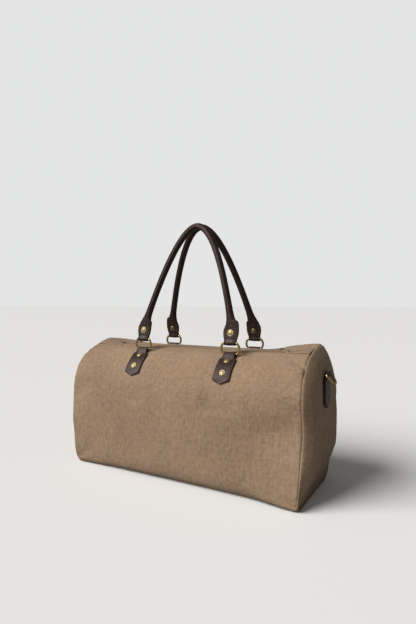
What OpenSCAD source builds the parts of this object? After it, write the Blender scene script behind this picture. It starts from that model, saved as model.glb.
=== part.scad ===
// Canvas duffel bag with leather handles on brass rings.
// Frame: X along the bag, -Y is the front, Z up. The origin is under the middle of the base.

/* [Bag body] */
// Length of the bag between its two end seams
bag_length = 530; // [520:5:640]
// Depth of the bag from front to back
bag_depth = 224; // [200:2:270]
// Height of the crown of the shoulders
bag_height = 273; // [240:1:330]
// Radius of the shoulders
shoulder_r = 100; // [85:1:100]
// Radius of the bottom edges
base_edge_r = 28; // [20:1:36]
// How far each end panel swells past its seam
end_bulge = 22; // [12:1:30]
// Thickness of the canvas with its interlining
canvas_t = 3; // [2:0.2:3.6]
// Thickness of the lining cloth
lining_t = 1; // [0.6:0.1:1.4]
// Space between the canvas and the lining, for the rivet backs
lining_gap = 1.8; // [1.6:0.1:2.6]
// Thickness of the stiffening board on the base
board_t = 3; // [2:0.5:5]

/* [Mouth and zip] */
// Half the distance between the two ridges of the mouth
ridge_y = 40; // [34:1:50]
// Half the length of the part of the mouth that opens
mouth_half = 187.5; // [150:0.5:190]
// How far the zip tape lies below the ridges
zip_drop = 3; // [2.8:0.1:10]
// Thickness of each canvas lip
lip_t = 2.4; // [1.6:0.1:3]
// Thickness of the zip tape
tape_t = 0.8; // [0.6:0.1:1]
// Width of each half of the zip tape
tape_w = 20; // [14:1:24]
// Distance from one zip tooth to the next
tooth_pitch = 6; // [5:0.5:8]
// Length of the slider
slider_len = 12; // [10:0.5:14]
// Where the closed slider lies along the bag
slider_x = 208; // [204:1:208]
// Length of the zip pull
pull_len = 46; // [24:1:46]
// Width of the zip pull
pull_w = 7.2; // [6:0.2:9]
// Angle at which the zip pull lies up against the end of the mouth
pull_lift = 14; // [0:1:20]

/* [Rings] */
// Half the distance between the two rings of one handle
ring_x = 108; // [90:1:130]
// Radius of the brass wire
wire_r = 1.8; // [1.4:0.1:2.2]
// Half the length of a ring's straight bars
bar_half = 15.5; // [14:0.5:18]
// Distance between the two bars of a ring
ring_rise = 22; // [20:1:28]
// How far a ring's sides bow out
ring_bow = 4.5; // [3:0.5:6]

/* [Leather] */
// Width of each chape
chape_w = 36; // [32:1:44]
// Angle up the shoulder at which a chape ends
chape_tip_a = 21; // [18:1:26]
// Angle up the shoulder at which a chape folds round its ring
chape_fold_a = 62; // [58:1:64]
// Thickness of the two layers of a chape
chape_t = 2.8; // [2:0.2:3.6]
// Thickness of leather where it goes round a bar
fold_t = 2.3; // [1.8:0.1:2.6]
// Gap between a bar and the leather round it
bar_gap = 0.35; // [0.3:0.05:0.5]
// Radius of a chape rivet's cap
rivet_r = 5.3; // [4:0.1:6]
// Radius of every rivet's shank
shank_r = 1.5; // [1.2:0.1:1.8]

/* [Handles] */
// Height of the top of the handles above the floor
handle_top = 545; // [480:5:600]
// Outer radius of the rolled leather
grip_r = 7; // [6:0.2:8]
// Radius of the rope core
core_r = 4.2; // [3.5:0.1:4.6]
// Half the distance between the two handles where they meet
meet_y = 8.2; // [8.2:0.1:16]
// Length of the flattened end of a handle
tab_len = 34; // [30:1:40]
// Width of the flattened end of a handle
tab_w = 32; // [30:1:36]
// Thickness of the flattened end of a handle
tab_t = 6; // [5:0.2:7]
// Radius of a handle rivet's cap
handle_rivet_r = 6; // [5:0.1:7]

/* [End tabs] */
// How far the end tabs lie in front of the middle of the ends
end_tab_y = 12; // [0:1:20]
// Height of the bar of the end D-rings
end_bar_z = 233; // [210:1:236]
// Height of the tip of the end tabs
end_tip_z = 168; // [155:1:180]
// Thickness of the end tabs
end_tab_t = 5; // [4:0.2:6]
// Angle at which an end D-ring leans out over the fold of its tab
d_ring_lean = 38; // [25:1:50]

/* [Hidden] */

canvas = [0.50, 0.42, 0.34];
leather = [0.17, 0.12, 0.11];
brass = [0.68, 0.52, 0.28];
cloth = [0.36, 0.31, 0.26];
steel = [0.78, 0.76, 0.72];

half_len = bag_length / 2;
half_depth = bag_depth / 2;
inner_len = half_len - canvas_t;
crown_y = half_depth - shoulder_r;
crown_z = bag_height - shoulder_r;
ridge_a = acos((ridge_y - crown_y) / shoulder_r);
ridge_z = crown_z + shoulder_r * sin(ridge_a);
lining_in = canvas_t + lining_gap;
lining_drop_a = 4;
lining_end_drop = 4;
board_margin = 8;
swell_mid_share = 0.55;
swell_mid_in = 12;
swell_top_in = 34;

cut = 0.5;
seat_gap = 0.05;
skin_gap = 0.3;
burr_gap = 0.3;
lip_gap = 1.3;

tape_z = ridge_z - zip_drop;
lip_z = tape_z + tape_t;
lip_top = lip_z + lip_t;
slot_half = 6.5;
tooth_in = 1.4;
tooth_out = 4.2;
tooth_h = 2.4;
tooth_share = 0.6;
stop_len = 3;
tooth_z = tape_z + tape_t / 2 - tooth_h / 2;
slider_gap = 0.4;
plate_t = 1.2;
slider_half_w = 5.5;
post_half = 1;
post_start = 3;
post_end = 1;
ear_in = 2.3;
ear_t = 1.1;
ear_half_len = 2;
pull_pin_r = 0.9;
pull_eye_r = 2.4;
pull_rim = 0.6;
pull_t = 1.4;
pull_neck = 6;
pull_side_gap = 0.35;
pull_hole_share = 0.45;
slider_top = tooth_z + tooth_h + slider_gap + plate_t;
pull_z = slider_top + pull_eye_r + pull_rim;

fold_gap = 0.2;
fold_r = wire_r + bar_gap + fold_t;
fold_half = bar_half - wire_r - 0.5;
bar_reach = shoulder_r + skin_gap + fold_r + fold_gap;
ring_y = crown_y + bar_reach * cos(chape_fold_a);
ring_z = crown_z + bar_reach * sin(chape_fold_a);
ring_top = ring_z + ring_rise;
chape_r = shoulder_r + skin_gap;
chape_neck_a = chape_fold_a - 5;
tip_cut = chape_w / 2 * 0.55;
rivet_angles = [chape_fold_a - 11, chape_fold_a - 26.5];
shank_gap = 0.1;
hole_r = shank_r + shank_gap;
cap_h = 2;
cap_rim_share = 0.35;
back_cap_share = 0.8;

lean = atan((ring_y - meet_y) / (handle_top - grip_r - ring_top));
arch_len = (handle_top - grip_r - ring_top) / cos(lean);
arch_power = 1.9;
path_steps = 44;
path_reach = 80;
tube_sides = 12;
core_gap = 0.2;
handle_rivet_v = 20;

end_face = half_len + end_bulge;
end_bar_x = end_face + fold_r + fold_gap;
end_fold_half = fold_half - 1.7;
end_neck = 12;
wing = 8;
wing_slope = 2;

// ---- shared outlines ----

function arc_points(cy, cz, r, a0, a1, n) =
    [for (i = [0:n]) let (a = a0 + (a1 - a0) * i / n) [cy + r * cos(a), cz + r * sin(a)]];

function reversed(list) = [for (i = [len(list) - 1:-1:0]) list[i]];

function mirrored(list) = [for (p = list) [-p[0], p[1]]];

// One side of the bag's section, moved inwards by d, from the base up to the ridge
function side_points(d, top_a = ridge_a) = concat(
    arc_points(half_depth - base_edge_r, base_edge_r, base_edge_r - d, -90, 0, 6),
    arc_points(crown_y, crown_z, shoulder_r - d, 0, top_a, 14));

module section(d) {
    polygon(concat(side_points(d), reversed(mirrored(side_points(d)))));
}

// Extrudes a Y-Z outline along X, from x0 to x1
module along_x(x0, x1) {
    translate([x0, 0, 0]) rotate([90, 0, 90]) linear_extrude(x1 - x0) children();
}

module box_between(low, high) {
    translate(low) cube(high - low);
}

module x_cylinder(r, half, y, z) {
    translate([-half, y, z]) rotate([0, 90, 0]) cylinder(r = r, h = 2 * half, $fn = 48);
}

// Puts children on the shoulder of the back panel: local Z points out of the panel, local Y up it
module on_shoulder(x, a, r) {
    translate([x, crown_y + r * cos(a), crown_z + r * sin(a)]) rotate([a - 90, 0, 0])
        mirror([0, 1, 0]) children();
}

module to_front() {
    mirror([0, 1, 0]) children();
}

module to_left() {
    mirror([1, 0, 0]) children();
}

// ---- canvas body ----

module long_panel() {
    difference() {
        along_x(-inner_len, inner_len)
            polygon(concat(side_points(0), reversed(side_points(canvas_t))));
        for (x = [-ring_x, ring_x], a = rivet_angles)
            on_shoulder(x, a, shoulder_r - canvas_t - 1) cylinder(r = hole_r, h = canvas_t + 2, $fn = 32);
    }
}

module front_panel() { color(canvas) to_front() long_panel(); }

module back_panel() { color(canvas) long_panel(); }

module base_panel() {
    color(canvas) box_between([-inner_len, -(half_depth - base_edge_r), 0],
        [inner_len, half_depth - base_edge_r, canvas_t]);
}

// The swollen outline of an end panel, moved inwards by d
module end_swell(d, start) {
    hull() {
        along_x(start, half_len - d + cut) section(d);
        along_x(half_len, half_len + end_bulge * swell_mid_share - d) section(d + swell_mid_in);
        along_x(half_len, end_face - d) section(d + swell_top_in);
    }
}

module end_panel() {
    difference() {
        end_swell(0, inner_len);
        end_swell(canvas_t, inner_len - 1);
    }
}

module end_panel_right() { color(canvas) end_panel(); }

module end_panel_left() { color(canvas) to_left() end_panel(); }

module lining() {
    top_a = ridge_a - lining_drop_a;
    reach = inner_len - skin_gap;
    color(cloth) {
        for (m = [0, 1]) mirror([0, m, 0]) along_x(-reach, reach) polygon(concat(
            side_points(lining_in, top_a), reversed(side_points(lining_in + lining_t, top_a))));
        box_between([-reach, -(half_depth - base_edge_r), lining_in],
            [reach, half_depth - base_edge_r, lining_in + lining_t]);
        for (m = [0, 1]) mirror([m, 0, 0]) intersection() {
            along_x(reach - lining_t, reach) section(lining_in);
            box_between([0, -half_depth, 0], [half_len, half_depth, tape_z - lining_end_drop]);
        }
    }
}

module base_board() {
    z = lining_in + lining_t;
    reach = inner_len - board_margin;
    color("dimgray") box_between([-reach, -(half_depth - base_edge_r), z],
        [reach, half_depth - base_edge_r, z + board_t]);
}

// ---- mouth ----

module mouth_end() {
    difference() {
        box_between([mouth_half + lip_gap, -(ridge_y - lip_gap), lip_z],
            [inner_len, ridge_y - lip_gap, lip_top]);
        box_between([mouth_half, -slot_half, lip_z - 1], [slider_x + pull_len, slot_half, lip_top + 1]);
    }
}

module mouth_end_right() { color(canvas) mouth_end(); }

module mouth_end_left() { color(canvas) to_left() mouth_end(); }

module lip() {
    box_between([-mouth_half, slot_half, lip_z], [mouth_half, ridge_y - lip_gap, lip_top]);
}

module front_lip() { color(canvas) to_front() lip(); }

module back_lip() { color(canvas) lip(); }

// ---- zip ----

module zip_tape(x0, x1) {
    box_between([x0, tooth_out, tape_z], [x1, tooth_out + tape_w, tape_z + tape_t]);
}

// A row of teeth is a bead with a tooth at every pitch
module zip_teeth(x0, x1) {
    count = floor((x1 - x0) / tooth_pitch);
    bead = tooth_out - 1;
    translate([0, 0, tooth_z]) linear_extrude(tooth_h) polygon(concat(
        [[x1, bead], [x1, tooth_out], [x0, tooth_out], [x0, bead]],
        [for (i = [0:count - 1], k = [0:3]) let (x = x0 + (i + (1 - tooth_share) / 2) * tooth_pitch)
            [x + (k > 1 ? tooth_pitch * tooth_share : 0), (k == 0 || k == 3) ? bead : tooth_in]]));
}

module zip_tape_front() { color(cloth) to_front() zip_tape(-mouth_half, mouth_half); }

module zip_tape_back() { color(cloth) zip_tape(-mouth_half, mouth_half); }

module zip_teeth_front() { color(brass) to_front() zip_teeth(-mouth_half, mouth_half); }

module zip_teeth_back() { color(brass) zip_teeth(-mouth_half, mouth_half); }

module zip_end() {
    x0 = mouth_half + lip_gap;
    for (m = [0, 1]) mirror([0, m, 0]) {
        zip_tape(x0, slider_x + slider_len * 2);
        zip_teeth(x0, slider_x + slider_len);
    }
}

module zip_end_right() { color(cloth) zip_end(); }

module zip_end_left() { color(cloth) to_left() zip_end(); }

module zip_stops() {
    x0 = slider_x + slider_len;
    color(brass) for (m = [0, 1], k = [0, 1]) mirror([m, 0, 0]) mirror([0, k, 0])
        box_between([x0, tooth_in, tape_z + tape_t], [x0 + stop_len, tooth_out + 2, tooth_z + tooth_h]);
}

module zip_slider() {
    low = tooth_z - slider_gap - plate_t;
    x0 = slider_x - slider_len / 2;
    x1 = slider_x + slider_len / 2;
    color(steel) {
        box_between([x0, -slider_half_w, low], [x1, slider_half_w, low + plate_t]);
        box_between([x0, -slider_half_w, slider_top - plate_t], [x1, slider_half_w, slider_top]);
        box_between([x0 + post_start, -post_half, low], [x1 - post_end, post_half, slider_top]);
        for (m = [0, 1]) mirror([0, m, 0])
            box_between([slider_x - ear_half_len, ear_in, slider_top - cut],
                [slider_x + ear_half_len, ear_in + ear_t, pull_z + pull_pin_r + pull_rim]);
        translate([slider_x, ear_in + ear_t / 2, pull_z]) rotate([90, 0, 0])
            cylinder(r = pull_pin_r, h = 2 * ear_in + ear_t, $fn = 32);
    }
}

module zip_pull() {
    eye_half = ear_in - pull_side_gap;
    tip_x = pull_len - pull_w / 2;
    color(steel) translate([slider_x, 0, pull_z]) rotate([0, -pull_lift, 0]) difference() {
        union() {
            translate([0, eye_half, 0]) rotate([90, 0, 0])
                cylinder(r = pull_eye_r, h = 2 * eye_half, $fn = 48);
            box_between([pull_eye_r / 2, -eye_half, -pull_t / 2], [pull_neck + 1, eye_half, pull_t / 2]);
            box_between([pull_neck, -pull_w / 2, -pull_t / 2], [tip_x, pull_w / 2, pull_t / 2]);
            translate([tip_x, 0, -pull_t / 2]) cylinder(d = pull_w, h = pull_t, $fn = 48);
        }
        translate([0, eye_half + 1, 0]) rotate([90, 0, 0])
            cylinder(r = pull_pin_r + bar_gap, h = 2 * eye_half + 2, $fn = 48);
        translate([tip_x, 0, -pull_t]) cylinder(d = pull_w * pull_hole_share, h = 2 * pull_t, $fn = 32);
    }
}

// ---- chapes and their rivets ----

// A chape lies up the shoulder, folds round the ring's lower bar and comes back under itself
module chape() {
    top_r = chape_r + chape_t;
    translate([ring_x, 0, 0]) difference() {
        union() {
            along_x(-chape_w / 2, chape_w / 2) polygon(concat(
                arc_points(crown_y, crown_z, chape_r, chape_tip_a, chape_neck_a, 12),
                reversed(arc_points(crown_y, crown_z, top_r, chape_tip_a, chape_neck_a, 12))));
            along_x(-fold_half, fold_half) polygon(concat(
                arc_points(crown_y, crown_z, chape_r, chape_neck_a - 1, chape_fold_a, 3),
                reversed(arc_points(crown_y, crown_z, top_r + 1, chape_neck_a - 1, chape_fold_a, 3))));
            x_cylinder(fold_r, fold_half, ring_y, ring_z);
        }
        x_cylinder(wire_r + bar_gap, fold_half + 1, ring_y, ring_z);
        for (m = [0, 1]) mirror([m, 0, 0]) on_shoulder(0, chape_tip_a, shoulder_r - 1)
            linear_extrude(chape_t + 8) polygon([[0, 0], [chape_w, 2 * tip_cut], [chape_w, -4], [0, -4]]);
        for (a = rivet_angles)
            on_shoulder(0, a, shoulder_r - 1) cylinder(r = hole_r, h = chape_t + 3, $fn = 32);
    }
}

module chape_front_left() { color(leather) to_left() to_front() chape(); }

module chape_front_right() { color(leather) to_front() chape(); }

module chape_back_left() { color(leather) to_left() chape(); }

module chape_back_right() { color(leather) chape(); }

// A rivet's domed cap, standing on the plane z = 0
module rivet_cap(r, h) {
    rim = h * cap_rim_share;
    dome_r = (r * r + (h - rim) * (h - rim)) / (2 * (h - rim));
    rotate_extrude($fn = 48) polygon(concat([[0, 0], [r, 0]],
        [for (i = [0:8]) let (y = r * (1 - i / 8)) [y, h - dome_r + sqrt(dome_r * dome_r - y * y)]]));
}

module chape_rivets() {
    seat = chape_t + skin_gap;
    back = canvas_t + burr_gap;
    for (x = [-ring_x, ring_x], a = rivet_angles) on_shoulder(x, a, shoulder_r) {
        translate([0, 0, seat + seat_gap]) rivet_cap(rivet_r, cap_h);
        translate([0, 0, -back]) cylinder(r = shank_r, h = back + seat + 0.3, $fn = 32);
    }
}

module chape_burrs() {
    burr_t = lining_gap - 2 * burr_gap;
    for (x = [-ring_x, ring_x], a = rivet_angles)
        on_shoulder(x, a, shoulder_r - canvas_t - burr_gap - burr_t)
            cylinder(r = rivet_r * back_cap_share, h = burr_t, $fn = 32);
}

module chape_rivets_front() { color(brass) to_front() chape_rivets(); }

module chape_rivets_back() { color(brass) chape_rivets(); }

module chape_burrs_front() { color(brass) to_front() chape_burrs(); }

module chape_burrs_back() { color(brass) chape_burrs(); }

// ---- rings ----

// A ring has two straight bars and two sides that bow out between them
module ring() {
    half = ring_rise / 2;
    bow_r = (half * half + ring_bow * ring_bow) / (2 * ring_bow);
    bow_a = asin(half / bow_r);
    translate([ring_x, ring_y, ring_z + half]) {
        for (s = [-1, 1]) {
            x_cylinder(wire_r, bar_half, 0, s * half);
            for (e = [-1, 1]) translate([e * bar_half, 0, s * half]) sphere(r = wire_r, $fn = 32);
        }
        for (m = [0, 1]) mirror([m, 0, 0]) translate([bar_half + ring_bow - bow_r, 0, 0])
            rotate([90, 0, 0]) rotate([0, 0, -bow_a])
                rotate_extrude(angle = 2 * bow_a, $fn = 96) translate([bow_r, 0]) circle(r = wire_r, $fn = 32);
    }
}

module ring_front_left() { color(brass) to_left() to_front() ring(); }

module ring_front_right() { color(brass) to_front() ring(); }

module ring_back_left() { color(brass) to_left() ring(); }

module ring_back_right() { color(brass) ring(); }

// ---- handles ----

// Places children on the back handle: local X along the bag, local Z up the handle,
// and local Y out of its outer side, with the ring's upper bar at the origin
module on_handle() {
    translate([0, ring_y, ring_top]) rotate([lean, 0, 0]) children();
}

function arch_v(x) = tab_len + (arch_len - tab_len) * (1 - pow(abs(x) / ring_x, arch_power));

function arch_point(i) =
    let (x = ring_x * sin(path_reach * (2 * i / path_steps - 1)) / sin(path_reach)) [x, arch_v(x)];

// Direction of the arch at point i, which is straight up or down at its two ends
function arch_dir(i) = (i == 0) ? [0, 1] : (i == path_steps) ? [0, -1] :
    let (d = arch_point(i + 1) - arch_point(i - 1)) d / norm(d);

function arch_ring(i, r) = let (p = arch_point(i), d = arch_dir(i))
    [for (k = [0:tube_sides - 1]) let (a = 360 * k / tube_sides)
        [p[0] + r * cos(a) * d[1], r * sin(a), p[1] - r * cos(a) * d[0]]];

// A tube along the arch, hollow where inner is more than nothing
module arch_tube(outer, inner) {
    n = tube_sides;
    turns = path_steps + 1;
    skins = inner > 0 ? [outer, inner] : [outer];
    points = [for (r = skins, i = [0:path_steps], p = arch_ring(i, r)) p];
    walls = [for (s = [0:len(skins) - 1], i = [0:path_steps - 1], k = [0:n - 1])
        let (o = (s * turns + i) * n, a = o + k, b = o + (k + 1) % n)
            s == 0 ? [a, b, b + n, a + n] : [a, a + n, b + n, b]];
    hole = turns * n;
    last = path_steps * n;
    ends = inner > 0
        ? [for (k = [0:n - 1], e = [0, 1]) let (j = (k + 1) % n, o = e * last)
            e == 0 ? [o + j, o + k, hole + o + k, hole + o + j] : [o + k, o + j, hole + o + j, hole + o + k]]
        : [[for (k = [n - 1:-1:0]) k], [for (k = [0:n - 1]) last + k]];
    polyhedron(points, concat(walls, ends), convexity = 6);
}

module grip() { on_handle() arch_tube(grip_r, core_r + core_gap); }

module core() { on_handle() arch_tube(core_r, 0); }

// The flattened end of a handle goes round the ring's upper bar and back up behind itself
module handle_end() {
    on_handle() translate([ring_x, 0, 0]) difference() {
        union() {
            x_cylinder(fold_r, fold_half, 0, 0);
            translate([0, tab_t / 2, 0]) rotate([90, 0, 0]) linear_extrude(tab_t) polygon([
                [-fold_half, 0], [fold_half, 0], [fold_half, wing - wing_slope], [tab_w / 2, wing + wing_slope],
                [tab_w / 2, tab_len - wing], [grip_r + 1, tab_len], [-grip_r - 1, tab_len],
                [-tab_w / 2, tab_len - wing], [-tab_w / 2, wing + wing_slope],
                [-fold_half, wing - wing_slope]]);
        }
        x_cylinder(wire_r + bar_gap, fold_half + 1, 0, 0);
        translate([0, tab_t, handle_rivet_v]) rotate([90, 0, 0])
            cylinder(r = hole_r, h = 2 * tab_t, $fn = 32);
    }
}

module handle_rivets() {
    on_handle() for (x = [-ring_x, ring_x]) translate([x, 0, handle_rivet_v]) {
        translate([0, tab_t / 2 + seat_gap, 0]) rotate([-90, 0, 0]) rivet_cap(handle_rivet_r, cap_h);
        translate([0, -tab_t / 2 - seat_gap, 0]) rotate([90, 0, 0])
            rivet_cap(handle_rivet_r * back_cap_share, cap_h);
        translate([0, tab_t / 2 + 0.4, 0]) rotate([90, 0, 0]) cylinder(r = shank_r, h = tab_t + 0.8, $fn = 32);
    }
}

module handle_front_grip() { color(leather) to_front() grip(); }

module handle_back_grip() { color(leather) grip(); }

module handle_front_core() { color(cloth) to_front() core(); }

module handle_back_core() { color(cloth) core(); }

module handle_front_end_left() { color(leather) to_left() to_front() handle_end(); }

module handle_front_end_right() { color(leather) to_front() handle_end(); }

module handle_back_end_left() { color(leather) to_left() handle_end(); }

module handle_back_end_right() { color(leather) handle_end(); }

module handle_front_rivets() { color(brass) to_front() handle_rivets(); }

module handle_back_rivets() { color(brass) handle_rivets(); }

// ---- end tabs and D-rings ----

module end_tab() {
    face = end_face + seat_gap;
    neck_z = end_bar_z - end_neck;
    translate([0, -end_tab_y, 0]) difference() {
        union() {
            along_x(face, face + end_tab_t) polygon([
                [0, end_tip_z], [chape_w / 2, end_tip_z + tip_cut], [chape_w / 2, neck_z],
                [end_fold_half, neck_z + end_neck / 2], [end_fold_half, end_bar_z],
                [-end_fold_half, end_bar_z], [-end_fold_half, neck_z + end_neck / 2],
                [-chape_w / 2, neck_z], [-chape_w / 2, end_tip_z + tip_cut]]);
            translate([end_bar_x, end_fold_half, end_bar_z]) rotate([90, 0, 0])
                cylinder(r = fold_r, h = 2 * end_fold_half, $fn = 48);
        }
        translate([end_bar_x, end_fold_half + 1, end_bar_z]) rotate([90, 0, 0])
            cylinder(r = wire_r + bar_gap, h = 2 * end_fold_half + 2, $fn = 48);
    }
}

// The D-ring hangs from its bar and leans out over the fold of the tab
module d_ring() {
    translate([end_bar_x, -end_tab_y, end_bar_z]) rotate([0, -d_ring_lean, 0]) {
        translate([0, bar_half, 0]) rotate([90, 0, 0]) cylinder(r = wire_r, h = 2 * bar_half, $fn = 48);
        for (e = [-1, 1]) translate([0, e * bar_half, 0]) sphere(r = wire_r, $fn = 32);
        rotate([90, 0, -90]) rotate([0, 0, 180]) rotate_extrude(angle = 180, $fn = 96)
            translate([bar_half, 0]) circle(r = wire_r, $fn = 32);
    }
}

module end_tab_right() { color(leather) end_tab(); }

module end_tab_left() { color(leather) to_left() end_tab(); }

module d_ring_right() { color(brass) d_ring(); }

module d_ring_left() { color(brass) to_left() d_ring(); }

front_panel();
back_panel();
base_panel();
end_panel_right();
end_panel_left();
lining();
base_board();
mouth_end_right();
mouth_end_left();
front_lip();
back_lip();
zip_tape_front();
zip_tape_back();
zip_teeth_front();
zip_teeth_back();
zip_end_right();
zip_end_left();
zip_stops();
zip_slider();
zip_pull();
chape_front_left();
chape_front_right();
chape_back_left();
chape_back_right();
chape_rivets_front();
chape_rivets_back();
chape_burrs_front();
chape_burrs_back();
ring_front_left();
ring_front_right();
ring_back_left();
ring_back_right();
handle_front_grip();
handle_back_grip();
handle_front_core();
handle_back_core();
handle_front_end_left();
handle_front_end_right();
handle_back_end_left();
handle_back_end_right();
handle_front_rivets();
handle_back_rivets();
end_tab_right();
end_tab_left();
d_ring_right();
d_ring_left();
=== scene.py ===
import math
import bpy
import bmesh
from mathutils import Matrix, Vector, noise


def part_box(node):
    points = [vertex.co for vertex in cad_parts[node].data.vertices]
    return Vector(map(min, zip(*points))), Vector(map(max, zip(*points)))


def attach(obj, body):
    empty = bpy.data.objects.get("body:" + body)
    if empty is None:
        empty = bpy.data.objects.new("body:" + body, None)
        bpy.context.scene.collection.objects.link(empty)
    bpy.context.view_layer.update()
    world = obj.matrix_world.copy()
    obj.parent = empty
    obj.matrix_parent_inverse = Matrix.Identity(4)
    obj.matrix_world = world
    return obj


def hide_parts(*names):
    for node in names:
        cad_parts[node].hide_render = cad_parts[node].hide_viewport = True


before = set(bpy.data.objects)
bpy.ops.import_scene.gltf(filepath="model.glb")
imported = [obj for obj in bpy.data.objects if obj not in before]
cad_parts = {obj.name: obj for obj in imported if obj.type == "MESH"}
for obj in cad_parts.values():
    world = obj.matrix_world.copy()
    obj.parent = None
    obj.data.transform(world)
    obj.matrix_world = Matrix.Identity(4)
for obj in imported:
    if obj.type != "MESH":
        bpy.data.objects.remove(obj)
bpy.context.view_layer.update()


# ---- Camera, floor and light ----
# The bag stands on a plain pale floor in front of a pale backdrop. One broad soft light comes from
# the front left and above, and the room fills in the shadows weakly.
scene = bpy.context.scene


def put_in_scene(obj):
    scene.collection.objects.link(obj)
    return obj


camera = put_in_scene(bpy.data.objects.new("camera", bpy.data.cameras.new("camera")))
camera.location = (0.513, -0.870, 0.368)
camera.rotation_euler = (math.radians(88.85), 0, math.radians(29.4))
camera.data.sensor_width = 36
camera.data.lens = 26.1
scene.camera = camera

scene.view_settings.view_transform = "Standard"

world = bpy.data.worlds.new("room")
scene.world = world
world.use_nodes = True
room = world.node_tree
sky = room.nodes["Background"]
sky.inputs["Color"].default_value = (1.0, 0.98, 0.95, 1)
sky.inputs["Strength"].default_value = 0.16
backdrop = room.nodes.new("ShaderNodeBackground")
backdrop.inputs["Color"].default_value = (0.985, 0.99, 1.0, 1)
backdrop.inputs["Strength"].default_value = 0.79
seen = room.nodes.new("ShaderNodeLightPath")
choice = room.nodes.new("ShaderNodeMixShader")
room.links.new(seen.outputs["Is Camera Ray"], choice.inputs[0])
room.links.new(sky.outputs[0], choice.inputs[1])
room.links.new(backdrop.outputs[0], choice.inputs[2])
room.links.new(choice.outputs[0], room.nodes["World Output"].inputs["Surface"])

key = put_in_scene(bpy.data.objects.new("key", bpy.data.lights.new("key", "SUN")))
key.data.energy = 3.65
key.data.angle = math.radians(42)
key.data.color = (1.0, 0.985, 0.96)
key.rotation_euler = Vector((0.52, 0.62, -0.66)).to_track_quat("-Z", "Y").to_euler()

floor = put_in_scene(bpy.data.objects.new("floor", bpy.data.meshes.new("floor")))
floor.data.from_pydata([(-40, -40, 0), (40, -40, 0), (40, 40, 0), (-40, 40, 0)], [], [(0, 1, 2, 3)])
floor_paint = bpy.data.materials.new("floor_paint")
floor_paint.use_nodes = True
paper = floor_paint.node_tree
near = paper.nodes["Principled BSDF"]
near.inputs["Base Color"].default_value = (0.88, 0.885, 0.89, 1)
near.inputs["Roughness"].default_value = 0.9
bounced = paper.nodes.new("ShaderNodeBsdfDiffuse")
bounced.inputs["Color"].default_value = (0.36, 0.36, 0.37, 1)
ray = paper.nodes.new("ShaderNodeLightPath")
pick = paper.nodes.new("ShaderNodeMixShader")
paper.links.new(ray.outputs["Is Camera Ray"], pick.inputs[0])
paper.links.new(bounced.outputs[0], pick.inputs[1])
paper.links.new(near.outputs[0], pick.inputs[2])
paper.links.new(pick.outputs[0], paper.nodes["Material Output"].inputs["Surface"])
floor.data.materials.append(floor_paint)


# ---- Canvas body: front, back, base and two ends ----
# Washed heavy cotton canvas, sewn inside out and turned, so that each seam is a soft groove.
# The long panels roll over the shoulders to the mouth; the ends are stuffed out like cushions.
end_seam = 0.265
straight_half = 0.130
end_swell = 0.022
canvas_thick = 0.0022
chape_at = 0.108
panel_girth = 0.36
base_seam_t = 2 / 12
long_sides = (("front", -1), ("back", 1))
short_ends = (("right", 1), ("left", -1))
ring_places = (("left", -chape_at), ("right", chape_at))

# Half of the bag's section (distance from the middle, height) in its middle and at each end seam.
# The ends have slumped differently, and both stand higher than the mouth between them.
middle_section = [(0, 0), (0.045, 0), (0.084, 0), (0.104, 0.008), (0.112, 0.028), (0.1125, 0.075),
    (0.1125, 0.125), (0.112, 0.173), (0.106, 0.2072), (0.0886, 0.2373), (0.062, 0.2596),
    (0.0478, 0.2657), (0.040, 0.2680)]
seam_sections = {
    (-1, 1): [(0, 0), (0.050, 0), (0.099, 0), (0.1135, 0.004), (0.1165, 0.020), (0.1085, 0.078),
        (0.0970, 0.135), (0.1030, 0.183), (0.0985, 0.2180), (0.0850, 0.2410), (0.062, 0.2605),
        (0.048, 0.2685), (0.040, 0.2725)],
    (-1, -1): [(0, 0), (0.048, 0), (0.092, 0), (0.105, 0.005), (0.109, 0.022), (0.1105, 0.075),
        (0.1115, 0.125), (0.1095, 0.172), (0.1000, 0.2175), (0.0860, 0.2400), (0.062, 0.2595),
        (0.048, 0.2662), (0.040, 0.2690)],
    (1, 1): [(0, 0), (0.034, 0), (0.062, 0), (0.082, 0.009), (0.096, 0.034), (0.1060, 0.078),
        (0.1100, 0.125), (0.1090, 0.172), (0.1030, 0.2080), (0.0870, 0.2410), (0.064, 0.2665),
        (0.053, 0.2775), (0.043, 0.2845)],
    (1, -1): [(0, 0), (0.036, 0), (0.066, 0), (0.085, 0.008), (0.098, 0.032), (0.1070, 0.078),
        (0.1105, 0.125), (0.1100, 0.172), (0.1030, 0.2080), (0.0870, 0.2400), (0.063, 0.2625),
        (0.050, 0.2715), (0.041, 0.2760)]}
seam_tops = {1: 0.2855, -1: 0.2785}


def ease(t):
    t = min(max(t, 0), 1)
    return t * t * (3 - 2 * t)


def between(a, b, c, d, f):
    """A point of the smooth curve through a, b, c and d, at share f of the way from b to c."""
    return 0.5 * (2 * b + (c - a) * f + (2 * a - 5 * b + 4 * c - d) * f**2 + (3 * b - a - 3 * c + d) * f**3)


def curve_at(points, t):
    """A smooth curve through the points; t runs from 0 to 1."""
    last = len(points) - 1
    k = min(int(t * last), last - 1)
    f = t * last - k
    a, b, c, d = (Vector(points[min(max(k + i, 0), last)]) for i in (-1, 0, 1, 2))
    return between(a, b, c, d, f)


def section_at(x, t, side, inset=0.0):
    """Point of one side of the bag's section at x, moved into the bag by inset."""
    share = ease((abs(x) - straight_half) / (end_seam - straight_half))
    at_end = seam_sections[side, 1 if x > 0 else -1]
    points = [Vector(a).lerp(Vector(b), share) for a, b in zip(middle_section, at_end)]
    here = curve_at(points, t)
    if inset:
        along = curve_at(points, min(t + 0.01, 1)) - curve_at(points, max(t - 0.01, 0))
        here = here + Vector((-along.y, along.x)).normalized() * inset
    return here


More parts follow.
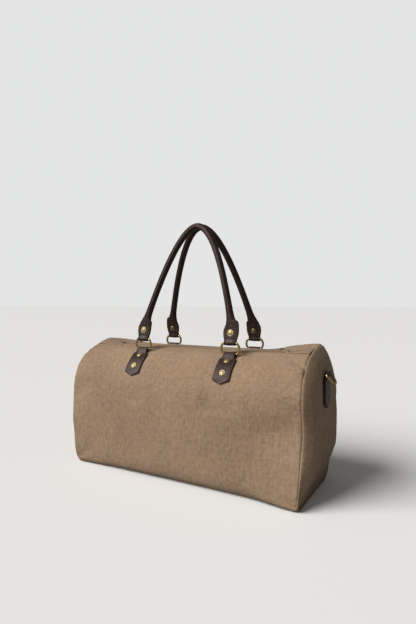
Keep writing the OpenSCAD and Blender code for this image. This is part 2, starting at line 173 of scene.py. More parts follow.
def stretched_x(x, t):
    """The stuffed ends push their seams outwards at half height, the left one most."""
    push = 0.010 if x < 0 else 0.003
    return x + math.copysign(push, x) * ease((abs(x) - 0.15) / 0.115) * math.sin(
        math.pi * min(max((t - 0.22) / 0.62, 0), 1))


def calm(x, t):
    """Nothing where a chape lies on the canvas or where it is sewn, and 1 on the free cloth."""
    near_chape = ease((abs(abs(x) - chape_at) - 0.020) / 0.03) if t > 0.55 else 1
    low_edge = ease(t / 0.25)
    ridge = ease((1 - t) / 0.06)
    return near_chape * low_edge * ridge


def crease(x, t, x0, t0, x1, t1, width):
    """1 on a line of the flat cloth, and falling to 0 at about its width and past its ends."""
    run = Vector((x1 - x0, (t1 - t0) * panel_girth))
    off = Vector((x - x0, (t - t0) * panel_girth))
    f = off.dot(run) / run.length_squared
    apart = (off - run * min(max(f, 0), 1)).length
    return math.exp(-(apart / width) ** 2) * (1 - ease(f) * 0.6)


def cloth_push(x, t, side):
    """How far soft folds and the bag's filling push the canvas out."""
    swell = 0.0035 * math.sin(math.pi * min(max((t - 0.25) / 0.45, 0), 1)) * (1 - (x / end_seam) ** 2)
    folds = 0.0030 * noise.noise(Vector((x * 6, t * 3.0, side * 3.1)))
    folds += 0.0013 * noise.noise(Vector((x * 19, t * 8, side * 7.7)))
    slack = ease((abs(x) - 0.19) / 0.07)
    folds += 0.0024 * slack * noise.noise(Vector((x * 15, t * 15, side * 5.3)))
    end = side * (1 if x > 0 else -1)
    folds -= 0.0075 * crease(abs(x), t, 0.263, 0.795, 0.240, 0.830, 0.0045) * (1 if end < 0 else 0.4)
    folds += 0.0030 * crease(abs(x), t, 0.262, 0.80, 0.236, 0.70, 0.009)
    folds -= 0.0030 * crease(abs(x), t, 0.262, 0.30, 0.215, 0.36, 0.007) * (1 if end > 0 else 0.5)
    folds -= 0.0022 * crease(abs(x), t, 0.262, 0.56, 0.205, 0.60, 0.010)
    return (swell + folds) * calm(x, t)


def seam_tuck(distance):
    """How deep the canvas dives at a turned seam, given the distance from the seam."""
    return 0.0036 * math.exp(-distance / 0.0016)


def add_mesh(name, points, faces, flats=None):
    """A piece from points and faces; flats gives each point its place on the flat cloth."""
    mesh = bpy.data.meshes.new(name)
    mesh.from_pydata([tuple(p) for p in points], [], faces)
    if flats:
        layer = mesh.uv_layers.new(name="cloth")
        for loop in mesh.loops:
            layer.data[loop.index].uv = flats[loop.vertex_index]
    mesh.validate()
    mesh.shade_smooth()
    return put_in_scene(bpy.data.objects.new(name, mesh))


def face_out(obj):
    """Merges doubles and turns every face outwards."""
    bm = bmesh.new()
    bm.from_mesh(obj.data)
    bmesh.ops.remove_doubles(bm, verts=bm.verts, dist=0.00002)
    bmesh.ops.recalc_face_normals(bm, faces=bm.faces)
    bm.to_mesh(obj.data)
    bm.free()
    return obj


def grid_faces(rows, columns, flip=False, skip=lambda i, j: False):
    faces = []
    for i in range(rows - 1):
        for j in range(columns - 1):
            if skip(i, j):
                continue
            a, b = i * columns + j, (i + 1) * columns + j
            faces.append((a, a + 1, b + 1, b) if flip else (a, b, b + 1, a + 1))
    return faces


def tube_faces(rings, sides, closed=True):
    """Faces between rings of points, with one across each end if closed."""
    faces = [(i * sides + k, i * sides + (k + 1) % sides, (i + 1) * sides + (k + 1) % sides,
        (i + 1) * sides + k) for i in range(rings - 1) for k in range(sides)]
    if closed:
        faces += [tuple(range(sides)), tuple((rings - 1) * sides + k for k in range(sides))]
    return faces


def thicken(obj, thick, offset=-1):
    solid = obj.modifiers.new("thickness", "SOLIDIFY")
    solid.thickness = thick
    solid.offset = offset
    return obj


def material(name, colour, rough, metal=0.0):
    made = bpy.data.materials.new(name)
    made.use_nodes = True
    shader = made.node_tree.nodes["Principled BSDF"]
    shader.inputs["Base Color"].default_value = (*colour, 1)
    shader.inputs["Roughness"].default_value = rough
    shader.inputs["Metallic"].default_value = metal
    return made, made.node_tree, shader


def node(tree, kind, values=None, **settings):
    made = tree.nodes.new(kind)
    for key, value in settings.items():
        setattr(made, key, value)
    for key, value in (values or {}).items():
        if isinstance(value, bpy.types.NodeSocket):
            tree.links.new(value, made.inputs[key])
        else:
            made.inputs[key].default_value = value
    return made


def mixed(tree, factor, a, b):
    """Colour a to colour b by factor."""
    mix = node(tree, "ShaderNodeMix", data_type="RGBA")
    for key, value in ((0, factor), (6, a), (7, b)):
        if isinstance(value, bpy.types.NodeSocket):
            tree.links.new(value, mix.inputs[key])
        else:
            mix.inputs[key].default_value = value
    return mix.outputs[2]


def summed(tree, *terms):
    """Adds value * weight pairs."""
    total = None
    for value, weight in terms:
        part = node(tree, "ShaderNodeMath", {0: value, 1: weight}, operation="MULTIPLY").outputs[0]
        total = part if total is None else node(
            tree, "ShaderNodeMath", {0: total, 1: part}, operation="ADD").outputs[0]
    return total


def own_place(tree):
    """Each point's place in its own object."""
    return node(tree, "ShaderNodeTexCoord").outputs["Object"]


def raise_by(tree, shader, height, strength, distance):
    """Bumps the surface by a pattern, on top of any bump that it has already."""
    values = {"Height": height, "Strength": strength, "Distance": distance}
    if shader.inputs["Normal"].links:
        values["Normal"] = shader.inputs["Normal"].links[0].from_socket
    tree.links.new(node(tree, "ShaderNodeBump", values).outputs[0], shader.inputs["Normal"])


def cloth_material(name, light, dark, thread=0.0011, fuzz=0.25):
    """Plain woven cloth: slubby threads both ways, uneven dye and a dusty sheen."""
    made, tree, shader = material(name, light, 0.92)
    flat = node(tree, "ShaderNodeUVMap", uv_map="cloth").outputs[0]

    def stretched(x, y, detail=3.0):
        place = node(tree, "ShaderNodeMapping", {"Vector": flat, "Scale": (x, y, 1)}).outputs[0]
        return node(tree, "ShaderNodeTexNoise",
            {"Vector": place, "Scale": 1.0, "Detail": detail}).outputs[0]

    across, along = stretched(90, 1100), stretched(1100, 90)
    thick_across, thick_along = stretched(34, 420, 2.0), stretched(420, 34, 2.0)
    heather, cloud = stretched(150, 150, 5.0), stretched(9, 9, 4.0)
    waves = []
    for direction in ("X", "Y"):
        waves.append(node(tree, "ShaderNodeTexWave", {"Vector": flat, "Scale": 0.314 / thread,
            "Distortion": 0.6}, bands_direction=direction).outputs["Fac"])
    tone = summed(tree, (across, 0.24), (along, 0.24), (thick_across, 0.26), (thick_along, 0.26),
        (heather, 0.56), (cloud, 0.44))
    spread = node(tree, "ShaderNodeMapRange", {0: tone, 1: 0.78, 2: 1.22}).outputs[0]
    colour = mixed(tree, spread, (*dark, 1), (*light, 1))
    tree.links.new(colour, shader.inputs["Base Color"])
    relief = summed(tree, (across, 0.8), (along, 0.8), (thick_across, 0.9), (thick_along, 0.9),
        (waves[0], 0.35), (waves[1], 0.35))
    raise_by(tree, shader, relief, 0.35, 0.0008)
    crumple = node(tree, "ShaderNodeTexNoise", {"Vector": flat, "Scale": 34.0, "Detail": 5.0,
        "Roughness": 0.62, "Distortion": 1.4}).outputs[0]
    raise_by(tree, shader, crumple, 0.40, 0.006)
    shader.inputs["Sheen Weight"].default_value = fuzz
    shader.inputs["Sheen Roughness"].default_value = 0.6
    shader.inputs["Specular IOR Level"].default_value = 0.2
    return made


canvas = cloth_material("canvas", (0.400, 0.276, 0.180), (0.245, 0.160, 0.098), fuzz=0.08)


def finish_piece(obj, paint, body, slot, *nodes):
    """Gives a piece its material and its body, and hides the CAD nodes it stands for."""
    obj.data.materials.clear()
    obj.data.materials.append(paint)
    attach(obj, body)
    if nodes:
        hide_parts(*nodes)
    return obj


def spread_x(i, count):
    """Place i of count along the bag, and closer together towards the end seams."""
    return end_seam * math.sin(math.pi / 2 * (2 * i / count - 1))


def long_panel(name, side, inset=0.0, t_low=base_seam_t, t_high=1.0, tuck=1.0):
    """A long panel from the base seam to the ridge, where its edge draws in under the lip."""
    columns, rows = 150, 74
    edge_drop, edge_draw = 0.0012, 0.0008
    points, flats = [], []
    for i in range(columns + 1):
        x = spread_x(i, columns)
        for j in range(rows + 1):
            t = t_low + (t_high - t_low) * j / rows
            push = cloth_push(x, t, side) - tuck * seam_tuck(end_seam - abs(x))
            push -= tuck * seam_tuck((t - t_low) * panel_girth) * 0.5
            at = section_at(x, t, side, inset - push)
            if j == rows and tuck:
                at -= Vector((edge_draw, edge_drop))
            points.append((stretched_x(x, t), side * at.x, at.y))
            flats.append((x, t * panel_girth))
    return add_mesh(name, points, grid_faces(columns + 1, rows + 1, flip=side > 0), flats)


def base_sheet(name):
    """The flat bottom between the two base seams."""
    rows, columns, most_lift = 60, 24, 0.002
    points, flats = [], []
    for i in range(rows + 1):
        x = spread_x(i, rows)
        front, back = (section_at(x, base_seam_t, side).x for side in (-1, 1))
        for j in range(columns + 1):
            y = -front + (front + back) * j / columns
            lift = seam_tuck(min(y + front, back - y)) + seam_tuck(end_seam - abs(x))
            points.append((x, y, min(lift, most_lift)))
            flats.append((x, y))
    return add_mesh(name, points, grid_faces(rows + 1, columns + 1), flats)


for label, side in long_sides:
    panel = thicken(long_panel(label + "_canvas", side), canvas_thick)
    finish_piece(panel, canvas, "bag", "canvas", label + "_panel")
base = face_out(thicken(base_sheet("base_canvas"), canvas_thick, 1))
finish_piece(base, canvas, "bag", "canvas", "base_panel")


def end_cushion(name, side):
    """An end panel: its edge dives into the seam, then it swells out to a nearly flat middle."""
    around, rings = 96, 46
    ts = [j / (around // 2) for j in range(around // 2 + 1)]
    loops = {edge: [section_at(side * end_seam, t, edge) for t in ts] for edge in (1, -1)}
    outline = [(p, abs(stretched_x(side * end_seam, t))) for p, t in zip(loops[1], ts)]
    outline += [(Vector((0, seam_tops[side])), end_seam)]
    outline += [(Vector((-p.x, p.y)), abs(stretched_x(side * end_seam, t)))
        for p, t in zip(reversed(loops[-1]), reversed(ts))][:-1]
    middle = Vector((0, 0.135))
    points, flats = [], []
    for i in range(rings):
        s = (i / rings) ** 1.5
        rise = math.sin(math.pi / 2 * min(s / 0.32, 1)) ** 0.85
        for k, (p, seam_x) in enumerate(outline):
            spoke = p - middle
            at = middle + spoke * (1 - s)
            depth = s * spoke.length
            free = ease(depth / 0.02) * (1 - ease((s - 0.34) / 0.15) * 0.75)
            ripple = 0.0040 * free * noise.noise(Vector((at.x * 20, at.y * 20, side * 4)))
            ripple += 0.0014 * free * noise.noise(Vector((at.x * 60, at.y * 60, side * 9)))
            at -= spoke.normalized() * seam_tuck(depth)
            full = ease((at.y + 0.010) / 0.10)
            reach = seam_x + (end_seam + end_swell - seam_x) * rise * full
            points.append((side * (reach + min(ripple, 0.0) - 0.0004), at.x, max(at.y, 0.0003)))
            flats.append((at.x, at.y))
    points.append((side * (end_seam + end_swell - 0.0006), middle.x, middle.y))
    flats.append((middle.x, middle.y))
    n = len(outline)
    faces = tube_faces(rings, n, closed=False)
    faces += [((rings - 1) * n + k, (rings - 1) * n + (k + 1) % n, rings * n) for k in range(n)]
    if side < 0:
        faces = [tuple(reversed(f)) for f in faces]
    return add_mesh(name, points, faces, flats)


for label, side in short_ends:
    cushion = thicken(end_cushion("end_canvas_" + label, side), canvas_thick)
    finish_piece(cushion, canvas, "bag", "canvas", "end_panel_" + label)


# ---- Mouth: two folding lips and the fixed canvas at each end ----
# Each lip is the turned-in top edge of a long panel, folded double along the zip.
# Past the zip's ends the two sides are sewn together and run up to the end seams.
mouth_half = 0.1875
slot_half = 0.0065
lip_edge = 0.0387


def lip(name, side):
    """One lip: a flat double fold that follows the rise of the ridge towards its hinge edge."""
    columns, profile = 120, [(lip_edge, 0.2669), (lip_edge - 0.0004, 0.2679), (0.0365, 0.2689),
        (0.030, 0.2692), (0.020, 0.2690), (0.012, 0.2690), (0.0082, 0.2692), (0.0068, 0.2686),
        (slot_half, 0.2677), (0.0070, 0.2669), (0.0100, 0.2668), (0.025, 0.2668), (0.0375, 0.2668)]
    points, flats = [], []
    for i in range(columns + 1):
        x = mouth_half * (2 * i / columns - 1)
        rise = section_at(x, 1, side).y - middle_section[-1][1]
        for y, z in profile:
            free = ease((y - slot_half) / 0.008) * ease((lip_edge - y) / 0.006) if z > 0.2688 else 0
            wave = 0.0011 * free * noise.noise(Vector((x * 18, y * 40, side * 2.0)))
            climb = 0.45 * (y / lip_edge) ** 1.6 * (1 - 0.5 * ease((y - 0.032) / 0.006))
            points.append((x, side * y, z + wave + rise * climb))
            flats.append((x, y))
    return face_out(add_mesh(name, points, tube_faces(columns + 1, len(profile)), flats))


def mouth_end(name, side):
    """The fixed canvas past the zip, which rises from the lips to the top of the end seam."""
    start, stop = 0.1890, 0.2644
    rows, columns = 34, 40
    slot_stop, pull_from = (0.254 if side > 0 else 0.217), 0.210
    slope = math.tan(math.radians(14))
    points, flats = [], []
    for i in range(rows + 1):
        x = start + (stop - start) * i / rows
        edges = {a: section_at(side * x, 1, a) for a in (-1, 1)}
        middle_z = 0.2688 + max(x - pull_from, 0) * slope * 0.92
        for j in range(columns + 1):
            a = 2 * j / columns - 1
            edge = edges[1 if a > 0 else -1]
            reach, first = edge.x - 0.0010, 2 / columns
            inner = slot_half if x < slot_stop else first * reach
            y = math.copysign(inner + (reach - inner) * (abs(a) - first) / (1 - first), a)
            if j == columns // 2:
                y = 0.0
            z = middle_z + (edge.y + 0.0010 - middle_z) * abs(a) ** 1.6
            z += 0.0008 * noise.noise(Vector((x * 40, y * 40, side)))
            z -= seam_tuck(stop - x) * 0.8
            points.append((side * x, y, z))
            flats.append((x, y))
    half = columns // 2

    def in_slot(i, j):
        return j in (half - 1, half) and start + (stop - start) * i / rows < slot_stop
    faces = grid_faces(rows + 1, columns + 1, flip=side < 0, skip=in_slot)
    return add_mesh(name, points, faces, flats)


for label, side in long_sides:
    finish_piece(lip(label + "_lip_canvas", side), canvas, label + "_lip", "canvas", label + "_lip")
for label, side in short_ends:
    end = thicken(mouth_end("mouth_end_canvas_" + label, side), 0.0016)
    finish_piece(end, canvas, "bag", "canvas", "mouth_end_" + label)


# ---- Lining and base board ----
# A plain cotton twill bag hangs inside the canvas, and a stiff fibre board lies on its bottom.
# They show only when the mouth is open.
lining_in = 0.0060
lining_top = 0.965
lining_cloth = cloth_material("lining_cloth", (0.15, 0.115, 0.08), (0.10, 0.075, 0.05), 0.0006, 0.1)
for label, side in long_sides:
    inner = thicken(long_panel("lining_" + label, side, lining_in, 0.0, lining_top, tuck=0.0), 0.0008)
    finish_piece(inner, lining_cloth, "bag", "lining", "lining")
board_paint, tree, shader = material("board", (0.03, 0.028, 0.026), 0.8)
grain = node(tree, "ShaderNodeTexNoise", {"Scale": 600.0, "Detail": 4.0})
raise_by(tree, shader, grain.outputs[0], 0.3, 0.0004)


def repaint(name, paint):
    """Gives a CAD node that stays in view its finish."""
    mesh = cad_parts[name].data
    mesh.materials.clear()
    mesh.materials.append(paint)


repaint("base_board", board_paint)


# ---- Chapes: the leather straps that hold the rings ----
# Each is one strip of waxed dark brown leather, cut to a point, folded round the ring's lower bar
# and riveted to the shoulder through both layers, with a creased and stitched edge.
crown = Vector((0.012, 0.173))
shoulder_r = 0.1003
fold_half = 0.0132


def leather_material(name, colour, worn, rough=0.40):
    made, tree, shader = material(name, colour, rough)
    place = own_place(tree)
    pores = node(tree, "ShaderNodeTexVoronoi", {"Vector": place, "Scale": 780.0}).outputs["Distance"]
    hide = node(tree, "ShaderNodeTexNoise", {"Vector": place, "Scale": 95.0, "Detail": 6.0}).outputs[0]
    cloud = node(tree, "ShaderNodeTexNoise", {"Vector": place, "Scale": 38.0, "Detail": 4.0}).outputs[0]
    edge = node(tree, "ShaderNodeNewGeometry").outputs["Pointiness"]
    rub = node(tree, "ShaderNodeMapRange", {0: edge, 1: 0.50, 2: 0.62}).outputs[0]
    tone = node(tree, "ShaderNodeMapRange", {0: cloud, 1: 0.35, 2: 0.75}).outputs[0]
    share = summed(tree, (tone, 0.45), (rub, 0.5))
    tree.links.new(mixed(tree, share, (*colour, 1), (*worn, 1)), shader.inputs["Base Color"])
    gloss = node(tree, "ShaderNodeMapRange", {0: hide, 1: 0.3, 2: 0.7, 3: rough - 0.07, 4: rough + 0.14})
    tree.links.new(gloss.outputs[0], shader.inputs["Roughness"])
    raise_by(tree, shader, summed(tree, (pores, 0.5), (hide, 1.1)), 0.35, 0.0005)
    shader.inputs["Specular IOR Level"].default_value = 0.22
    shader.inputs["Specular Tint"].default_value = (1.0, 0.80, 0.76, 1)
    return made


leather = leather_material("leather", (0.023, 0.0125, 0.0105), (0.050, 0.030, 0.026), 0.38)


def strap(name, path, halves, thicks, place):
    """A creased strip of leather: path lies in a plane, place(point, across) puts it in the bag."""
    rings = []
    last = len(path) - 1
    for i, here in enumerate(path):
        along = (path[min(i + 1, last)] - path[max(i - 1, 0)]).normalized()
        out = Vector((-along.y, along.x))
        w, t = halves[i], thicks[i] / 2
        edge = [(w, 0), (w - 0.3 * t, 0.7 * t), (w - t, t), (w - 0.0024, t), (w - 0.0030, t - 0.0005),
            (w - 0.0036, t), (w * 0.55, t + 0.0003)]
        top = [(max(s, 0.0002), h) for s, h in edge] + [(0, t + 0.0004)]
        ring = top + [(-s, h) for s, h in reversed(top[:-1])]
        under = [(w - 0.3 * t, -0.7 * t), (w - t, -t), (w * 0.5, -t)]
        under = [(max(s, 0.0002), h) for s, h in under]
        ring += [(-s, h) for s, h in under] + [(0, -t)] + [(s, h) for s, h in reversed(under)]
        rings.append([place(here + out * h, s) for s, h in ring])
    points = [p for ring in rings for p in ring]
    return face_out(add_mesh(name, points, tube_faces(len(rings), len(rings[0]))))


def around_crown(angle, radius):
    a = math.radians(angle)
    return crown + Vector((math.cos(a), math.sin(a))) * radius


def turn(centre, radius, a0, a1, steps):
    angles = [math.radians(a0 + (a1 - a0) * i / steps) for i in range(steps + 1)]
    return [centre + Vector((math.cos(a), math.sin(a))) * radius for a in angles]


ring_box = [Vector(c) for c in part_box("ring_back_right")]
wire_r = 0.0018
ring_low = Vector((ring_box[0].y + wire_r, ring_box[0].z + wire_r))
fold_mid = 0.0037
tip_angle, neck_angle, fold_angle = 22.4, 53.0, 62.0
chape_half = 0.0190


def chape_path():
    """Up the shoulder from the tip, over the ring's bar and back under."""
    steps, tip_run, lift = 26, 0.0078, 0.0014
    path, halves = [], []
    for i in range(steps + 1):
        path.append(around_crown(tip_angle + (neck_angle - tip_angle) * i / steps, shoulder_r + lift))
        run = math.radians(neck_angle - tip_angle) * i / steps * shoulder_r
        halves.append(min(chape_half, 0.0006 + run / tip_run * chape_half))
    for angle, rise, half in ((54.6, 0.0019, 0.0184), (56.0, 0.0030, 0.0142), (57.6, 0.0044, 0.0134)):
        path.append(around_crown(angle, shoulder_r + rise))
        halves.append(half)
    loop = turn(ring_low, fold_mid, fold_angle - 8, fold_angle + 172, 14)
    path += loop + [around_crown(58.5, shoulder_r + lift)]
    halves += [fold_half] * (len(loop) + 1)
    thicks = [0.0028] * (steps + 1) + [0.0027, 0.0025, 0.0023] + [0.0021] * (len(loop) + 1)
    return path, halves, thicks


def on_shoulder(side, x):
    """Puts a point of the shoulder's curve, and a distance across the chape, on the bag."""
    return lambda p, s: Vector((x + s, side * p.x, p.y))


for end, side in long_sides:
    for label, x in ring_places:
        piece = strap(f"chape_{end}_{label}_leather", *chape_path(), on_shoulder(side, x))
        finish_piece(piece, leather, "bag", "leather", f"chape_{end}_{label}")


# ---- Stitches ----
# Waxed thread in short slanted stitches. Each row follows a line just inside a leather edge
# or beside the zip, and is one piece with the strap that it sews.
def new_tree(name, source, sizes, paint, result):
    """An empty node tree with its named inputs and its output."""
    tree = bpy.data.node_groups.new(name, "GeometryNodeTree")
    inputs = [(source, "NodeSocketGeometry")] + [(size, "NodeSocketFloat") for size in sizes]
    for label, kind in inputs + [(paint, "NodeSocketMaterial")]:
        tree.interface.new_socket(label, in_out="INPUT", socket_type=kind)
    tree.interface.new_socket(result, in_out="OUTPUT", socket_type="NodeSocketGeometry")
    return tree, node(tree, "NodeGroupInput").outputs


def end_tree(tree, placed, paint):
    """Makes the placed copies real, paints them and sends them out."""
    real = node(tree, "GeometryNodeRealizeInstances", {0: placed}).outputs[0]
    painted = node(tree, "GeometryNodeSetMaterial", {"Geometry": real, "Material": paint}).outputs[0]
    node(tree, "NodeGroupOutput", {0: painted})
    return tree


def spaced_along(tree, line, pitch):
    curve = node(tree, "GeometryNodeMeshToCurve", {0: line}).outputs[0]
    return node(tree, "GeometryNodeResampleCurve", {"Curve": curve, "Length": pitch},
        mode="LENGTH").outputs[0]


def stitch_tree():
    tree, given = new_tree("stitch_row", "Line", ("Pitch", "Length", "Thickness"), "Thread", "Stitches")
    spaced = spaced_along(tree, given["Line"], given["Pitch"])
    along = node(tree, "GeometryNodeInputTangent").outputs[0]
    turned = node(tree, "FunctionNodeAlignRotationToVector", {"Vector": along}, axis="Z").outputs[0]
    bead = node(tree, "GeometryNodeMeshUVSphere", {"Segments": 6, "Rings": 4, "Radius": 0.5}).outputs[0]
    size = node(tree, "ShaderNodeCombineXYZ", {0: given["Thickness"], 1: given["Thickness"],
        2: given["Length"]}).outputs[0]
    placed = node(tree, "GeometryNodeInstanceOnPoints", {"Points": spaced, "Instance": bead,
        "Rotation": turned, "Scale": size}).outputs[0]
    return end_tree(tree, placed, given["Thread"])


def grown(name, tree, source, sizes):
    """Runs a node tree on a mesh and keeps the result as a plain mesh."""
    obj = put_in_scene(bpy.data.objects.new(name, source))
    mod = obj.modifiers.new("grow", "NODES")
    mod.node_group = tree
    for item in tree.interface.items_tree:
        if item.in_out == "INPUT" and item.name in sizes:
            mod[item.identifier] = sizes[item.name]
    shaped = obj.evaluated_get(bpy.context.evaluated_depsgraph_get())
    result = bpy.data.meshes.new_from_object(shaped)
    obj.modifiers.clear()
    obj.data = result
    return obj


def line_mesh(name, lines):
    """Loose edges along each line of points."""
    mesh = bpy.data.meshes.new(name)
    points, edges = [], []
    for line in lines:
        edges += [(len(points) + i, len(points) + i + 1) for i in range(len(line) - 1)]
        points += [tuple(p) for p in line]
    mesh.from_pydata(points, edges, [])
    return mesh


stitching = stitch_tree()


def stitches(name, lines, body, slot, thread, pitch=0.0034, length=0.0025, thick=0.0008):
    """One piece with a stitch at every pitch along each line."""
    made = grown(name, stitching, line_mesh(name, lines),
        {"Pitch": pitch, "Length": length, "Thickness": thick, "Thread": thread})
    made.data.shade_smooth()
    return finish_piece(made, thread, body, slot)


def thread_material(name, colour):
    made, tree, shader = material(name, colour, 0.6)
    twist = node(tree, "ShaderNodeTexWave", {"Vector": own_place(tree), "Scale": 420.0,
        "Distortion": 1.0}, bands_direction="DIAGONAL").outputs["Fac"]
    raise_by(tree, shader, twist, 0.5, 0.0003)
    return made


brown_thread = thread_material("brown_thread", (0.24, 0.175, 0.150))
canvas_thread = thread_material("canvas_thread", (0.21, 0.155, 0.105))

chape_edge = chape_half - 0.0032
outline = [(chape_edge, 54 - 1.5 * i) for i in range(17)]
outline += [(chape_edge * k / 5, 24.2 + 4.6 * k / 5) for k in (4, 3, 2, 1, 0)]
outline += [(-s, a) for s, a in reversed(outline[:-1])]
for end, side in long_sides:
    rows = []
    for label, x in ring_places:
        place = on_shoulder(side, x)
        rows.append([place(around_crown(a, shoulder_r + 0.0027), s) for s, a in outline])
    stitches(f"chape_stitches_{end}", rows, "bag", "leather", brown_thread)

for end, side in long_sides:
    row = [Vector((mouth_half * 0.995 * (2 * i / 40 - 1), side * 0.0100, 0.2692)) for i in range(41)]
    stitches(end + "_lip_stitches", [row], end + "_lip", "canvas", canvas_thread, 0.0038, 0.0028, 0.0006)


# ---- Rings ----
# Four rings of antique brass wire, with two straight bars and sides that bow out between them.
# The lower bar turns in the chape's fold and the upper one in the handle's.
wire_shown = 0.0024
ring_high = Vector((ring_low.x, ring_box[1].z - wire_r))


def brass_material(name, bright, dull, rough=0.27):
    made, tree, shader = material(name, bright, rough, 1.0)
    place = own_place(tree)
    cloud = node(tree, "ShaderNodeTexNoise", {"Vector": place, "Scale": 160.0, "Detail": 5.0}).outputs[0]
    rubbed = node(tree, "ShaderNodeNewGeometry").outputs["Pointiness"]
    hollow = node(tree, "ShaderNodeMapRange", {0: rubbed, 1: 0.50, 2: 0.40}).outputs[0]
    patch = node(tree, "ShaderNodeMapRange", {0: cloud, 1: 0.48, 2: 0.70}).outputs[0]
    share = summed(tree, (patch, 0.55), (hollow, 0.5))
    tree.links.new(mixed(tree, share, (*bright, 1), (*dull, 1)), shader.inputs["Base Color"])
    gloss = node(tree, "ShaderNodeMapRange", {0: cloud, 1: 0.3, 2: 0.7, 3: rough - 0.05, 4: rough + 0.16})
    tree.links.new(gloss.outputs[0], shader.inputs["Roughness"])
    fine = node(tree, "ShaderNodeTexNoise", {"Vector": place, "Scale": 900.0, "Detail": 3.0}).outputs[0]
    raise_by(tree, shader, fine, 0.12, 0.0003)
    return made


brass = brass_material("brass", (0.62, 0.44, 0.18), (0.22, 0.14, 0.055))


def wire_loop(name, centreline, radius, place, sides=16):
    """A closed loop of wire along a smooth closed centreline in a plane."""
    n = len(centreline)
    points = []
    for i, here in enumerate(centreline):
        along = (centreline[(i + 1) % n] - centreline[i - 1]).normalized()
        out = Vector((along.y, -along.x))
        for k in range(sides):
            a = 2 * math.pi * k / sides
            points.append(place(here + out * radius * math.cos(a), radius * math.sin(a)))
    faces = [(i * sides + k, i * sides + (k + 1) % sides, (i + 1) % n * sides + (k + 1) % sides,
        (i + 1) % n * sides + k) for i in range(n) for k in range(sides)]
    return face_out(add_mesh(name, points, faces))


def evenly_spaced(loop, count):
    """The same closed loop with points at equal distances."""
    gaps = [(loop[(i + 1) % len(loop)] - p).length for i, p in enumerate(loop)]
    step, out, at, i = sum(gaps) / count, [], 0.0, 0
    for k in range(count):
        while at + gaps[i] < k * step:
            at += gaps[i]
            i += 1
        out.append(loop[i].lerp(loop[(i + 1) % len(loop)], (k * step - at) / gaps[i]))
    return out


def closed_curve(corners, steps):
    """A smooth closed loop through the corners."""
    loop = [Vector(c) for c in corners]
    n = len(loop)
    out = []
    for k in range(n):
        a, b, c, d = (loop[(k + i) % n] for i in (-1, 0, 1, 2))
        out += [between(a, b, c, d, i / steps) for i in range(steps)]
    return evenly_spaced(out, 112)


half_rise = (ring_high.y - ring_low.y) / 2
quarter = [(0.0, half_rise), (0.0065, half_rise), (0.0125, half_rise), (0.0158, half_rise - 0.0010),
    (0.0181, half_rise - 0.0045), (0.0198, half_rise * 0.28)]
right_side = quarter + [(x, -z) for x, z in reversed(quarter)]
ring_line = closed_curve(right_side + [(-x, z) for x, z in reversed(right_side[1:-1])], 5)
ring_mid = (ring_low + ring_high) / 2
for end, side in long_sides:
    for label, x in ring_places:
        def upright(p, s, x=x, side=side):
            return Vector((x + p.x, side * ring_mid.x + s, ring_mid.y + p.y))
        name = f"ring_{end}_{label}"
        finish_piece(wire_loop(name + "_wire", ring_line, wire_shown, upright), brass, name, "brass", name)


# ---- Handles ----
# Each is one long piece of leather rolled round a cotton rope and sewn along its outer face.
# Its ends open out into flat tabs, folded round the ring's upper bar and riveted through.
grip_r = 0.007
tab_len = 0.034
grip_box = [Vector(c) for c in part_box("handle_back_grip")]
apex = Vector((grip_box[0].y + grip_r, grip_box[1].z - grip_r))
lean = math.atan2(ring_high.x - apex.x, apex.y - ring_high.y)
arch_len = (apex - ring_high).length


def arch_line():
    """Centreline of one handle in its own plane: (along the bag, up the handle)."""
    steps, widest = 150, math.radians(80)
    line = [Vector((-chape_at, 0.007 + 0.003 * i)) for i in range(9)]
    for i in range(steps + 1):
        x = chape_at * math.sin(widest * (2 * i / steps - 1)) / math.sin(widest)
        line.append(Vector((x, tab_len + (arch_len - tab_len) * (1 - abs(x / chape_at) ** 1.9))))
    line += [Vector((-p.x, p.y)) for p in reversed(line[:9])]
    for _ in range(14):
        line = [line[0]] + [(line[i - 1] + line[i] * 2 + line[i + 1]) / 4
            for i in range(1, len(line) - 1)] + [line[-1]]
    return line


# Half widths and half thicknesses by the distance run from a ring: the outer edge of a tab eases
# into the grip, and the inner edge keeps a sharper shoulder.
width_by_run = [(0.000, 0.0140), (0.006, 0.0158), (0.013, 0.0170), (0.020, 0.0166), (0.027, 0.0140),
    (0.035, 0.0108), (0.045, 0.0086), (0.058, 0.0075), (0.075, 0.0071), (0.090, 0.0070)]
sharp_by_run = [(0.000, 0.0140), (0.006, 0.0158), (0.014, 0.0168), (0.030, 0.0160), (0.0345, 0.0148),
    (0.0385, 0.0100), (0.048, 0.0084), (0.060, 0.0075), (0.090, 0.0070)]
depth_by_run = [(0.000, 0.0031), (0.013, 0.0031), (0.021, 0.0034), (0.028, 0.0042), (0.037, 0.0054),
    (0.048, 0.0064), (0.062, 0.0069), (0.090, 0.0070)]


def read_off(pairs, run):
    """The eased value between the pairs on either side of run."""
    for (a, u), (b, v) in zip(pairs, pairs[1:]):
        if run <= b:
            return u + (v - u) * ease((run - a) / (b - a))
    return pairs[-1][1]


def handle_place(side):
    """Puts (along the bag, up the handle, out of its face) on the bag."""
    up = Vector((0, -math.sin(lean) * side, math.cos(lean)))
    out = Vector((0, math.cos(lean) * side, math.sin(lean)))
    foot = Vector((0, side * ring_high.x, ring_high.y))

    def place(x, v, w):
        return foot + Vector((x, 0, 0)) + up * v + out * w
    return place


